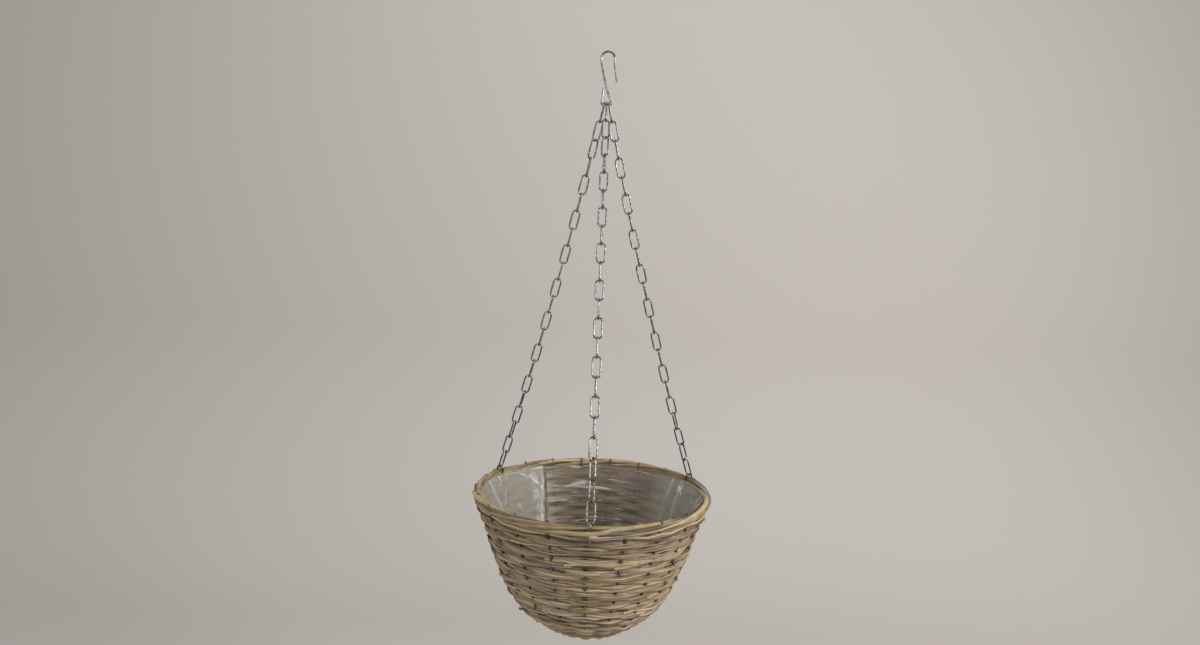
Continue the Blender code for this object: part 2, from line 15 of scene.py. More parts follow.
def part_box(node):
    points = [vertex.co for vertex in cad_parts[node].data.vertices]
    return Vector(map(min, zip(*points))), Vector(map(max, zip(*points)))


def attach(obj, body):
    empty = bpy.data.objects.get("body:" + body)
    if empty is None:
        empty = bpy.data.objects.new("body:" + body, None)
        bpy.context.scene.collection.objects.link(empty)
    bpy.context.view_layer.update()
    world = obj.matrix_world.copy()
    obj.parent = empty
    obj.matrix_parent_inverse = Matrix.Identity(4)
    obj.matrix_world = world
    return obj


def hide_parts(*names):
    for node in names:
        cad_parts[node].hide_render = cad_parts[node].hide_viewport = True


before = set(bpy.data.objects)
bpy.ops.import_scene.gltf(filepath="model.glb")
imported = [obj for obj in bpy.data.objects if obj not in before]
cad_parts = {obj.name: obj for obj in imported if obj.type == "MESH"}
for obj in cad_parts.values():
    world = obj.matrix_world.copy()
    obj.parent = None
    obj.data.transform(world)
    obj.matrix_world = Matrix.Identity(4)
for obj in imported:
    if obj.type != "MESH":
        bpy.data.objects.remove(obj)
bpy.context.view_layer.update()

# Sizes of the real pieces, in metres, as in the part's source. A chain's azimuth
# and its winding, how far it has turned round at a link's number, are in degrees.
GAP = 0.0003
HOOK_WIRE = 0.0025
HOOK_HEIGHT = 0.0611
CROOK_RADIUS = 0.0080
EYE_BEND = 0.0020
KINK_BEND = 0.0060
LINKS = 23
LINK_WIRE = 0.0020
LINK_WIDTH = 0.0090
LINK_PITCH = 0.0220
BEND_FACET = math.cos(math.pi / 8)
CONTACT = LINK_WIRE * BEND_FACET + GAP
SAG = math.radians(2.8)
AZIMUTHS = {"left": -120.0, "front": 0.0, "right": 117.0}
WINDING = {
    "left": ((1, 0.0), (4, -80.0), (18, -95.0), (23, -120.0)),
    "front": ((1, 0.0), (4, 80.0), (18, 95.0), (23, 180.0)),
    "right": ((1, 0.0), (17, 0.0), (23, -63.0)),
}
RIM_RADIUS = 0.1425
WALL_SET_IN = 0.0015
WALL_HEIGHT = 0.1551
BASE_RADIUS = 0.0353
WALL_SHARES = (
    (1.000, 0.000), (0.910, 0.139), (0.825, 0.333), (0.707, 0.526),
    (0.560, 0.720), (0.347, 0.861), (0.139, 0.958), (0.000, 1.000),
)
STAKES = 21
STAKE_TURN = math.radians(-1.6)
LINER_RADIUS = 0.1367
LINER_DEPTH = 0.0091

BAR_CENTRE = Vector((0.0, 0.0, -HOOK_HEIGHT))
BAR_TO_CONTACT = (HOOK_WIRE + GAP) / 2
RIM_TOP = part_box("rim_rod_top")[1][2]
RIM_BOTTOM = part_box("rim_rod_lower")[0][2]
WALL_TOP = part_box("woven_wall")[1][2]
BASE_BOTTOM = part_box("woven_base")[0][2]
FIRST_STAKE = -math.pi / 2 + STAKE_TURN


# Small helpers

def linear(code):
    """An sRGB hex colour as linear RGBA."""
    parts = [int(code[index:index + 2], 16) / 255 for index in (1, 3, 5)]
    return (*[c / 12.92 if c <= 0.04045 else ((c + 0.055) / 1.055) ** 2.4 for c in parts], 1.0)


def add_node(tree, kind, inputs=None, **settings):
    """Adds a node with its settings; an input is a value or another node's socket."""
    node = tree.nodes.new(kind)
    for key, value in settings.items():
        setattr(node, key, value)
    for key, value in (inputs or {}).items():
        if isinstance(value, bpy.types.NodeSocket):
            tree.links.new(value, node.inputs[key])
        else:
            node.inputs[key].default_value = value
    return node


def new_item(name, data):
    """A new object in the scene."""
    item = bpy.data.objects.new(name, data)
    bpy.context.scene.collection.objects.link(item)
    return item


def maths(tree, operation, *values, **settings):
    """A number worked out from numbers and sockets."""
    node = add_node(tree, "ShaderNodeMath", dict(enumerate(values)), operation=operation, **settings)
    return node.outputs[0]


def map_range(tree, value, source, target):
    """A number moved from one range to another and held inside it."""
    return add_node(tree, "ShaderNodeMapRange", {
        "Value": value, "From Min": source[0], "From Max": source[1],
        "To Min": target[0], "To Max": target[1]}).outputs[0]


def cloudy(tree, place, scale, detail, roughness):
    """Cloudy noise over a place, from zero to one."""
    return add_node(tree, "ShaderNodeTexNoise", {
        "Vector": place, "Scale": scale, "Detail": detail, "Roughness": roughness}).outputs["Fac"]


def attribute(tree, name):
    """What a mesh says at each of its points under a name."""
    return add_node(tree, "ShaderNodeAttribute", attribute_name=name).outputs["Fac"]


def new_material(name, colour, metallic, roughness):
    """A plain Principled material, with its node tree and its shader."""
    material = bpy.data.materials.new(name)
    material.use_nodes = True
    shader = material.node_tree.nodes["Principled BSDF"]
    shader.inputs["Base Color"].default_value = linear(colour)
    shader.inputs["Metallic"].default_value = metallic
    shader.inputs["Roughness"].default_value = roughness
    return material, material.node_tree, shader


# Materials

# How close their patterns lie, so many to a metre: the bark's blotches are about
# 18 mm across and its checks 29 mm long, the zinc is cloudy every 2.4 mm, the
# film's painted highlights are 45 mm long and 5 mm high, its crumples 22 mm across
# and its painted crease lines 29 mm apart. The bloom's scale is a share of the checks'.
BARK_BLOTCHES = 55.0
BARK_CHECKS = 34.0
BLOOM_TO_CHECKS = 0.45
ZINC_CLOUDS = 420.0
FILM_LIGHTS = (22.0, 22.0, 190.0)
FILM_CRUMPLES = 46.0
FILM_CREASES = 34.0
MILLIMETRE = 0.001

# The painted shade beside a stake, where a strand tucks in behind it: where it begins and
# ends to fade, in bays from the stake, and how much it darkens the bark.
PAINTED_SHADE_FADES = (0.025, 0.080)
PAINTED_SHADE_DEPTH = 0.65


def colour_steps(tree, factor, steps):
    """A colour ramp over a factor, from (position, hex) pairs."""
    ramp = add_node(tree, "ShaderNodeValToRGB", {"Fac": factor})
    marks = ramp.color_ramp.elements
    while len(marks) < len(steps):
        marks.new(0.5)
    for mark, (position, code) in zip(marks, steps):
        mark.position = position
        mark.color = linear(code)
    return ramp.outputs["Color"]


def stake_painted_shade(tree, place):
    """Painted shade beside the wire, at most about 5 mm wide, on the outside of a strand
    that is tucked in behind a stake, where the slit by the stake lies in shadow."""
    apart = add_node(tree, "ShaderNodeSeparateXYZ", {"Vector": place}).outputs
    angle = maths(tree, "ARCTAN2", apart["Y"], apart["X"])
    bays = maths(tree, "MULTIPLY_ADD", angle, STAKES / (2 * math.pi),
                 -FIRST_STAKE * STAKES / (2 * math.pi))
    from_stake = maths(tree, "PINGPONG", bays, 0.5)
    near = map_range(tree, from_stake, PAINTED_SHADE_FADES, (PAINTED_SHADE_DEPTH, 0.0))
    facing = add_node(tree, "ShaderNodeNewGeometry").outputs["Normal"]
    level = add_node(tree, "ShaderNodeVectorMath", {
        0: place, 1: (1.0, 1.0, 0.0)}, operation="MULTIPLY").outputs[0]
    outward_way = add_node(tree, "ShaderNodeVectorMath", {0: level}, operation="NORMALIZE").outputs[0]
    turned = add_node(tree, "ShaderNodeVectorMath", {
        0: facing, 1: outward_way}, operation="DOT_PRODUCT").outputs["Value"]
    outside = map_range(tree, turned, (-0.1, 0.3), (0.0, 1.0))
    tucked_shade = maths(tree, "MULTIPLY", near, attribute(tree, "tucked"))
    return maths(tree, "MULTIPLY", tucked_shade, outside)


def unpeeled_willow(name, steps, streak_mm=1.2):
    """Unpeeled willow, steamed and dried: matt bark, each rod its own tone, with
    grey bloom and dark checks drawn out along the rod."""
    material, tree, shader = new_material(name, "#8C7A5C", 0.0, 0.68)
    tone = attribute(tree, "tone")
    along = attribute(tree, "along")
    place = add_node(tree, "ShaderNodeTexCoord").outputs["Object"]
    height = add_node(tree, "ShaderNodeSeparateXYZ", {"Vector": place}).outputs["Z"]
    shift = maths(tree, "MULTIPLY", tone, 7.0)
    grain = add_node(tree, "ShaderNodeCombineXYZ", {"X": along, "Y": shift, "Z": height}).outputs[0]
    drawn = add_node(tree, "ShaderNodeMapping", {
        "Vector": grain, "Scale": (BARK_CHECKS, 1.0, 1.0 / (streak_mm * MILLIMETRE))}).outputs[0]
    streaks = cloudy(tree, drawn, 1.0, 3.0, 0.6)
    blotches = cloudy(tree, place, BARK_BLOTCHES, 3.0, 0.65)
    streaked = maths(tree, "MULTIPLY_ADD", streaks, 0.56, -0.28)
    blotched = maths(tree, "MULTIPLY_ADD", blotches, 0.55, -0.27)
    mixed = maths(tree, "ADD", streaked, blotched)
    toned = maths(tree, "ADD", mixed, tone)
    # Painted shade darkens the bark beside each stake, where a strand tucks in behind it.
    factor = maths(tree, "MULTIPLY_ADD", stake_painted_shade(tree, place), -1.0, toned, use_clamp=True)
    colour = colour_steps(tree, factor, steps)
    bloom_field = cloudy(tree, drawn, BLOOM_TO_CHECKS, 2.0, 0.5)
    bloom = map_range(tree, bloom_field, (0.52, 0.68), (0.0, 0.60))
    greyed = add_node(tree, "ShaderNodeMix", {
        0: bloom, 6: colour, 7: linear("#A39A95")}, data_type="RGBA").outputs[2]
    tree.links.new(greyed, shader.inputs["Base Color"])
    bump = add_node(tree, "ShaderNodeBump", {"Height": streaks, "Strength": 0.35, "Distance": 0.0004})
    tree.links.new(bump.outputs[0], shader.inputs["Normal"])
    shader.inputs["Specular IOR Level"].default_value = 0.35
    return material


def zinc_plate(name, colour, roughness):
    """Bright zinc plate on drawn wire: grey metal, a little uneven, with sharp lights."""
    material, tree, shader = new_material(name, colour, 1.0, roughness)
    place = add_node(tree, "ShaderNodeTexCoord").outputs["Object"]
    clouds = cloudy(tree, place, ZINC_CLOUDS, 3.0, 0.6)
    rough = map_range(tree, clouds, (0.3, 0.7), (roughness - 0.08, roughness + 0.12))
    tree.links.new(rough, shader.inputs["Roughness"])
    tint = colour_steps(tree, clouds, ((0.30, "#363835"), (0.52, colour), (0.75, "#B4B6B2")))
    tree.links.new(tint, shader.inputs["Base Color"])
    return material


def clear_film(name):
    """Clear polythene film: pressed flat it dulls the willow behind it and has painted
    thin white highlights along the rods; slack it is milky and crumpled, with painted
    highlights on its folds and crease lines."""
    material, tree, shader = new_material(name, "#A9A498", 0.0, 0.30)
    slack = attribute(tree, "slack")
    place = add_node(tree, "ShaderNodeTexCoord").outputs["Object"]
    drawn = add_node(tree, "ShaderNodeMapping", {"Vector": place, "Scale": FILM_LIGHTS}).outputs[0]
    lights = cloudy(tree, drawn, 1.0, 2.0, 0.5)
    # Painted highlights: thin white streaks along the rods where the film lies flat.
    glint = map_range(tree, lights, (0.60, 0.70), (0.0, 0.42))
    crumple = cloudy(tree, place, FILM_CRUMPLES, 2.0, 0.5)
    facet_edge = add_node(tree, "ShaderNodeTexVoronoi", {
        "Vector": place, "Scale": FILM_CREASES}, feature="DISTANCE_TO_EDGE").outputs["Distance"]
    # Painted highlights along the crumples' crease lines and the folds, where the film is slack.
    line = map_range(tree, facet_edge, (0.00, 0.05), (0.50, 0.0))
    patch = map_range(tree, crumple, (0.52, 0.66), (0.0, 1.0))
    lined = maths(tree, "MULTIPLY", line, patch)
    painted_crease_light = maths(tree, "MULTIPLY_ADD", attribute(tree, "fold"), 0.25, lined)
    veil = map_range(tree, slack, (0.0, 1.0), (0.44, 0.56))
    marks = add_node(tree, "ShaderNodeMix", {0: slack, 2: glint, 3: painted_crease_light}, data_type="FLOAT").outputs[0]
    alpha = maths(tree, "ADD", veil, marks, use_clamp=True)
    tree.links.new(alpha, shader.inputs["Alpha"])
    haze = add_node(tree, "ShaderNodeMix", {
        0: slack, 6: linear("#75685C"), 7: linear("#A6A196")}, data_type="RGBA").outputs[2]
    colour = add_node(tree, "ShaderNodeMix", {
        0: marks, 6: haze, 7: linear("#E4E0D5")}, data_type="RGBA").outputs[2]
    tree.links.new(colour, shader.inputs["Base Color"])
    bump = add_node(tree, "ShaderNodeBump", {"Height": crumple, "Strength": 0.20, "Distance": 0.002})
    tree.links.new(bump.outputs[0], shader.inputs["Normal"])
    shader.inputs["Specular IOR Level"].default_value = 0.5
    return material


# Geometry trees

# A link's corners are just under half its width in radius, and its weld swells
# the wire by a share over a short stretch of one leg.
WELD_SWELL = 0.10
WELD_REACH = 0.0016
LINK_STEPS = 44
LINK_SIDES = 12
CORNER_STEPS = 5
ALMOST_HALF = 0.4999
SAME_PLACE = 0.000001


def tube(tree, curve, radius, sides, caps):
    """A round tube along a curve, with the radius of each of its points."""
    sized = add_node(tree, "GeometryNodeSetCurveRadius", {"Curve": curve, "Radius": radius}).outputs[0]
    ring = add_node(tree, "GeometryNodeCurvePrimitiveCircle", {"Resolution": sides, "Radius": 1.0})
    swept = add_node(tree, "GeometryNodeCurveToMesh", {
        "Curve": sized, "Profile Curve": ring.outputs["Curve"], "Fill Caps": caps})
    if "Scale" in swept.inputs:
        tree.links.new(add_node(tree, "GeometryNodeInputRadius").outputs[0], swept.inputs["Scale"])
    return swept.outputs[0]


def finish_tree(tree, geometry, material):
    """Ends a tree with smooth, plain geometry in its material."""
    soft = add_node(tree, "GeometryNodeSetShadeSmooth", {"Geometry": geometry}).outputs[0]
    real = add_node(tree, "GeometryNodeRealizeInstances", {"Geometry": soft}).outputs[0]
    done = add_node(tree, "GeometryNodeSetMaterial", {"Geometry": real, "Material": material}).outputs[0]
    tree.links.new(done, add_node(tree, "NodeGroupOutput").inputs[0])


def wire_tree(name, material):
    """Round rod or wire along every line of the input, as thick as its 'thickness'."""
    tree = bpy.data.node_groups.new(name, "GeometryNodeTree")
    face = tree.interface
    face.new_socket("Geometry", in_out="INPUT", socket_type="NodeSocketGeometry")
    sizes = (("Sides", "NodeSocketInt", 6), ("Bark depth", "NodeSocketFloat", 0.0),
             ("Bark scale", "NodeSocketFloat", 200.0))
    for label, kind, size in sizes:
        face.new_socket(label, in_out="INPUT", socket_type=kind).default_value = size
    face.new_socket("Geometry", in_out="OUTPUT", socket_type="NodeSocketGeometry")
    inputs = add_node(tree, "NodeGroupInput").outputs
    lines = add_node(tree, "GeometryNodeMeshToCurve", {"Mesh": inputs["Geometry"]}).outputs[0]
    thick = add_node(tree, "GeometryNodeInputNamedAttribute", {"Name": "thickness"}, data_type="FLOAT")
    half = maths(tree, "MULTIPLY", thick.outputs["Attribute"], 0.5)
    rod = tube(tree, lines, half, inputs["Sides"], True)
    place = add_node(tree, "GeometryNodeInputPosition").outputs[0]
    knots = cloudy(tree, place, inputs["Bark scale"], 2.0, 0.5)
    centred = maths(tree, "SUBTRACT", knots, 0.5)
    depth = maths(tree, "MULTIPLY", centred, inputs["Bark depth"])
    normal = add_node(tree, "GeometryNodeInputNormal").outputs[0]
    push = add_node(tree, "ShaderNodeVectorMath", {0: normal, "Scale": depth}, operation="SCALE").outputs[0]
    uneven = add_node(tree, "GeometryNodeSetPosition", {"Geometry": rod, "Offset": push}).outputs[0]
    finish_tree(tree, uneven, material)
    return tree


def link_tree(name, material):
    """One welded link: wire round a rounded slot, with the weld's swelling on one leg."""
    tree = bpy.data.node_groups.new(name, "GeometryNodeTree")
    face = tree.interface
    sizes = (("Length", LINK_PITCH + CONTACT), ("Width", LINK_WIDTH),
             ("Wire", LINK_WIRE), ("Weld", WELD_SWELL))
    for label, size in sizes:
        face.new_socket(label, in_out="INPUT", socket_type="NodeSocketFloat").default_value = size
    face.new_socket("Geometry", in_out="OUTPUT", socket_type="NodeSocketGeometry")
    inputs = add_node(tree, "NodeGroupInput").outputs
    slot_line = add_node(tree, "GeometryNodeCurvePrimitiveQuadrilateral", {
        "Width": inputs["Width"], "Height": inputs["Length"]}).outputs[0]
    bend = maths(tree, "MULTIPLY", inputs["Width"], ALMOST_HALF)
    fillet = add_node(tree, "GeometryNodeFilletCurve", {"Curve": slot_line, "Radius": bend})
    if "Mode" in fillet.inputs:
        fillet.inputs["Mode"].default_value = "Poly"
    else:
        fillet.mode = "POLY"
    fillet.inputs["Count"].default_value = CORNER_STEPS
    even = add_node(tree, "GeometryNodeResampleCurve", {
        "Curve": fillet.outputs[0], "Count": LINK_STEPS}).outputs[0]
    place = add_node(tree, "GeometryNodeInputPosition").outputs[0]
    apart = add_node(tree, "ShaderNodeSeparateXYZ", {"Vector": place}).outputs
    beside = maths(tree, "GREATER_THAN", apart["X"], 0.0)
    near = map_range(tree, maths(tree, "ABSOLUTE", apart["Y"]), (0.0, WELD_REACH), (1.0, 0.0))
    swell = maths(tree, "MULTIPLY", near, beside)
    swollen = maths(tree, "MULTIPLY_ADD", swell, inputs["Weld"], 1.0)
    half = maths(tree, "MULTIPLY", inputs["Wire"], 0.5)
    radius = maths(tree, "MULTIPLY", swollen, half)
    finish_tree(tree, tube(tree, even, radius, LINK_SIDES, False), material)
    return tree


def grow(tree, source, **sizes):
    """Runs a geometry tree on a mesh and gives the result as a plain mesh."""
    item = new_item("growing", source)
    modifier = item.modifiers.new("tree", "NODES")
    modifier.node_group = tree
    sockets = {s.name: s.identifier for s in tree.interface.items_tree if s.in_out == "INPUT"}
    for key, value in sizes.items():
        modifier[sockets[key.replace("_", " ").capitalize()]] = value
    graph = bpy.context.evaluated_depsgraph_get()
    mesh = bpy.data.meshes.new_from_object(item.evaluated_get(graph), depsgraph=graph)
    bpy.data.objects.remove(item, do_unlink=True)
    return mesh


def outward(mesh):
    """Welds a mesh and turns every closed shell's faces outwards."""
    shape = bmesh.new()
    shape.from_mesh(mesh)
    bmesh.ops.remove_doubles(shape, verts=shape.verts, dist=SAME_PLACE)
    bmesh.ops.recalc_face_normals(shape, faces=shape.faces)
    shape.to_mesh(mesh)
    shape.free()
    return mesh


# A rod or wire: its points and its thickness, which is one value or one a
# point, its tone, whether it closes, and how far each point is tucked in.
Line = namedtuple("Line", "points sizes tone closed tucks", defaults=(0.5, False, None))

# Rods begin at different places in the bark's pattern, so that neighbours differ.
GRAIN_SHIFT = 0.7
GRAIN_PLACES = 13


def add_layers(mesh, **layers):
    """Gives a mesh one number a point under each name."""
    for label, values in layers.items():
        layer = mesh.attributes.new(label, "FLOAT", "POINT")
        layer.data.foreach_set("value", values)


def run_lengths(points):
    """How far each point lies along its line."""
    runs = [0.0]
    for start, end in zip(points, points[1:]):
        runs.append(runs[-1] + (end - start).length)
    return runs


def lines_mesh(name, lines):
    """Lines as a mesh of edges, with what the geometry trees and materials read."""
    places, edges, thick, tones, tucked, lengths = [], [], [], [], [], []
    for line in lines:
        first = len(places)
        run = 0.0
        for index, point in enumerate(line.points):
            if index:
                run += (point - line.points[index - 1]).length
                edges.append((first + index - 1, first + index))
            places.append(point)
            thick.append(line.sizes[index] if hasattr(line.sizes, "__len__") else line.sizes)
            tones.append(line.tone)
            tucked.append(line.tucks[index] if line.tucks else 0.0)
            lengths.append(run + GRAIN_SHIFT * (first % GRAIN_PLACES))
        if line.closed:
            edges.append((len(places) - 1, first))
    mesh = bpy.data.meshes.new(name)
    mesh.from_pydata(places, edges, [])
    add_layers(mesh, thickness=thick, tone=tones, tucked=tucked, along=lengths)
    return mesh


def place_piece(name, mesh, body, slot, *nodes):
    """The finished piece at the origin, on its body, in place of its CAD nodes."""
    item = new_item(name, mesh)
    mesh.name = name
    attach(item, body)
    if nodes:
        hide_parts(*nodes)
    return item


# Chains

# Links 04 to 17 are joined in pairs, as in the part.
FIRST_JOINED = 4
LAST_JOINED = 17
LEAN_ROUNDS = 12


def link_spread(index):
    """How much more or less than the chain's mean a link leans, as the chain sags."""
    middle = (LINKS - 2) / 2
    return SAG * (index - middle) / middle


def bar_place(side):
    """Where a chain's first link crosses the eye's bar, along X."""
    lean = math.asin(RIM_RADIUS / (LINK_PITCH * (LINKS - 1))) - SAG
    rise = (HOOK_WIRE + LINK_WIRE) / 2 + GAP
    if side == "front":
        return 0.0
    place = (LINK_WIRE + GAP) / math.cos(lean)
    place += rise * math.sin(lean) * abs(math.sin(math.radians(AZIMUTHS[side])))
    return math.copysign(place, AZIMUTHS[side])


def rim_point(side):
    azimuth = math.radians(AZIMUTHS[side])
    return Vector((RIM_RADIUS * math.sin(azimuth), -RIM_RADIUS * math.cos(azimuth), 0.0))


def chain_shape(side, drop=None):
    """Mean lean, pitch and drop of a chain from the bar to its last link."""
    start = Vector((bar_place(side), 0.0, 0.0))
    across = (rim_point(side) - start).length
    length = sum(math.cos(link_spread(index)) for index in range(LINKS - 1))
    mean = math.asin(across / (LINK_PITCH * length))
    pitch = LINK_PITCH
    for _ in range(LEAN_ROUNDS):
        first = mean + link_spread(0)
        full_across = across + BAR_TO_CONTACT * math.sin(first)
        if drop is None:
            mean = math.asin(full_across / (pitch * length))
        else:
            full_down = drop + BAR_TO_CONTACT * math.cos(first)
            mean = math.atan2(full_across, full_down)
            pitch = math.hypot(full_across, full_down) / length
    first = mean + link_spread(0)
    return mean, pitch, pitch * length * math.cos(mean) - BAR_TO_CONTACT * math.cos(first)


def winding(side, number):
    """How far a chain has turned round at a link's number, in radians."""
    stops = WINDING[side]
    for (low, start), (high, end) in zip(stops, stops[1:]):
        if number <= high:
            return math.radians(start + (end - start) * (number - low) / (high - low))
    return math.radians(stops[-1][1])


def chain_frames(side, drop):
    """A frame for each link: origin at its upper contact, -Z down the chain, X across it."""
    mean, pitch, _ = chain_shape(side, drop)
    start = BAR_CENTRE + Vector((bar_place(side), 0.0, 0.0))
    level = (rim_point(side) - Vector((start.x, 0.0, 0.0))).normalized()
    frames = []
    place = None
    for number in range(1, LINKS + 1):
        if number < LINKS:
            lean = mean + link_spread(number - 1)
            down = level * math.sin(lean) - Vector((0.0, 0.0, 1.0)) * math.cos(lean)
            flat = Vector((0.0, 1.0, 0.0))
            flat = (flat - down * flat.dot(down)).normalized()
            turn = math.radians(90.0 * (number - 1)) + winding(side, number)
            across = flat * math.cos(turn) + flat.cross(down) * math.sin(turn)
        else:
            down = Vector((0.0, 0.0, -1.0))
            across = rim_point(side).normalized()
        if place is None:
            place = start - down * BAR_TO_CONTACT
        up = -down
        matrix = Matrix((across, up.cross(across), up)).transposed().to_4x4()
        matrix.translation = place
        frames.append(matrix)
        place = place + down * pitch
    return frames, pitch


def chains(material):
    """The three chains' links, each in place of its CAD node."""
    tree = link_tree("welded_link", material)
    drop = chain_shape("front")[2]
    upright = Matrix.Rotation(math.pi / 2, 4, "X")
    for side in AZIMUTHS:
        frames, pitch = chain_frames(side, drop)
        link = grow(tree, bpy.data.meshes.new("link_seed"), length=pitch + CONTACT)
        link.transform(Matrix.Translation((0.0, 0.0, -pitch / 2)) @ upright)
        outward(link)
        number = 1
        while number <= LINKS:
            joined = FIRST_JOINED <= number < LAST_JOINED
            numbers = (number, number + 1) if joined else (number,)
            label = "_".join("{:02d}".format(n) for n in numbers)
            node = "{}_link_{}".format(side, label)
            shape = bmesh.new()
            for each in numbers:
                copy = link.copy()
                copy.transform(frames[each - 1])
                shape.from_mesh(copy)
                bpy.data.meshes.remove(copy)
            mesh = bpy.data.meshes.new(node)
            shape.to_mesh(mesh)
            shape.free()
            mesh.materials.append(material)
            mesh.shade_smooth()
            body = "top_links" if number == 1 else "{}_body_{}".format(side, label)
            place_piece("welded_" + node, mesh, body, "chain", node)
            number += len(numbers)


# Hook

# Its corners, as shares of the crook's radius across and of the hook's height
# down: the open end and the kink above it, the kinks down the leg, and the eye's
# free end, which is a share of the eye's half width across.
OPEN_END_SHARES = (1.43, 0.556)
OPEN_KINK_SHARES = (1.0, 0.208)
LEG_KINK_SHARES = ((-1.0, 0.191), (-0.82, 0.300), (-0.13, 0.668))
FREE_END_SHARES = (-0.68, 0.686)
LEG_BEND = 4 * KINK_BEND
EYE_CLEARANCE = 0.00025
CROOK_STEPS = 24
ARC_STEP = math.radians(12.0)


def rounded(points, bends):
    """Polyline with an arc of the given radius at each inner corner."""
    path = [Vector(points[0])]
    for index in range(1, len(points) - 1):
        corner = Vector(points[index])
        before = (corner - Vector(points[index - 1])).normalized()
        after = (Vector(points[index + 1]) - corner).normalized()
        angle = before.angle(after)
        bend = bends[index]
        if bend <= 0.0 or angle < ARC_STEP / 4:
            path.append(corner)
            continue
        start = corner - before * (bend * math.tan(angle / 2))
        inward = (after - before * before.dot(after)).normalized()
        centre = start + inward * bend
        steps = max(1, math.ceil(angle / ARC_STEP))
        for step in range(steps + 1):
            swing = angle * step / steps
            path.append(centre - inward * (bend * math.cos(swing)) + before * (bend * math.sin(swing)))
    path.append(Vector(points[-1]))
    return path


def hook_corner(shares, width):
    across, down = shares
    return Vector((across * width, 0.0, -down * HOOK_HEIGHT))


def bent_hook(material):
    """One wire: an open crook, a kinked leg, the eye's bar and its free end."""
    eye = bar_place("right") + LINK_WIRE / 2 + EYE_CLEARANCE + EYE_BEND
    centre = Vector((0.0, 0.0, HOOK_WIRE / 2 - CROOK_RADIUS))
    points = [hook_corner(shares, CROOK_RADIUS) for shares in (OPEN_END_SHARES, OPEN_KINK_SHARES)]
    bends = [0.0, KINK_BEND]
    for step in range(CROOK_STEPS + 1):
        angle = math.pi * step / CROOK_STEPS
        points.append(centre + Vector((math.cos(angle), 0.0, math.sin(angle))) * CROOK_RADIUS)
        bends.append(0.0)
    points += [hook_corner(shares, CROOK_RADIUS) for shares in LEG_KINK_SHARES]
    bends += [KINK_BEND, KINK_BEND, LEG_BEND]
    points += [BAR_CENTRE + Vector((eye, 0.0, 0.0)), BAR_CENTRE - Vector((eye, 0.0, 0.0))]
    bends += [EYE_BEND, EYE_BEND]
    points.append(hook_corner(FREE_END_SHARES, eye))
    bends.append(0.0)
    lines = lines_mesh("hook_line", [Line(rounded(points, bends), HOOK_WIRE)])
    mesh = outward(grow(wire_tree("hook_wire", material), lines, sides=16))
    place_piece("bent_wire_hook", mesh, "hook", "hook", "hook")


# Basket

# The wall's profile is smoothed in so many parts between two of its points, and
# then read at even steps down the wall.
PROFILE_PARTS = 24
MERIDIAN_STEP = 0.0005


def outer_profile():
    """The CAD wall's outside as points of (radius, height), from the top down."""
    rise = RIM_RADIUS - WALL_SET_IN - BASE_RADIUS
    return [Vector((BASE_RADIUS + share * rise, WALL_TOP - depth * WALL_HEIGHT))
            for share, depth in WALL_SHARES]


def smooth_profile(points, step):
    """The wall's outside as a smooth line of evenly spaced (place, outward normal)."""
    dense = []
    for index in range(len(points) - 1):
        a = points[max(index - 1, 0)]
        b, c = points[index], points[index + 1]
        d = points[min(index + 2, len(points) - 1)]
        for part in range(PROFILE_PARTS):
            t = part / PROFILE_PARTS
            dense.append(0.5 * (2 * b + (c - a) * t + (2 * a - 5 * b + 4 * c - d) * t * t
                                + (3 * b - a - 3 * c + d) * t ** 3))
    dense.append(points[-1])
    runs = run_lengths(dense)
    count = int(runs[-1] / step)
    line = []
    seek = 0
    for index in range(count + 1):
        want = runs[-1] * index / count
        while seek < len(runs) - 2 and runs[seek + 1] < want:
            seek += 1
        share = (want - runs[seek]) / (runs[seek + 1] - runs[seek])
        along = (dense[seek + 1] - dense[seek]).normalized()
        line.append((dense[seek].lerp(dense[seek + 1], share), Vector((-along.y, along.x))))
    return line, runs[-1]


class Meridian:
    """The wall's outside by its length from the top."""

    def __init__(self):
        self.line, self.length = smooth_profile(outer_profile(), MERIDIAN_STEP)

    def at(self, run):
        """The place and outward normal at a length; above the top it goes straight up."""
        share = max(0.0, min(1.0, run / self.length)) * (len(self.line) - 1)
        low = min(int(share), len(self.line) - 2)
        mix = share - low
        place = self.line[low][0].lerp(self.line[low + 1][0], mix)
        normal = self.line[low][1].lerp(self.line[low + 1][1], mix).normalized()
        return place + Vector((0.0, max(0.0, -run))), normal


def turned_to(angle, radius, height):
    return Vector((radius * math.cos(angle), radius * math.sin(angle), height))


# Weave: a spiral of strands, each of five rods side by side. The pitch is from
# one turn to the next, down the wall. A strand lies at the weave's depth under
# the CAD wall's outside and swings out and in past the stakes.
ROW_PITCH = 0.0070
BAY_STEPS = 5
STEPS_A_TURN = STAKES * BAY_STEPS
STRAND = (-2, -1, 0, 1, 2)
WEAVE_DEPTH = 0.0030
WEAVE_SWING = 0.0021
WEAVE_SEED = 11
FAN_LEAST = 0.00115
FAN_MORE = 0.00062

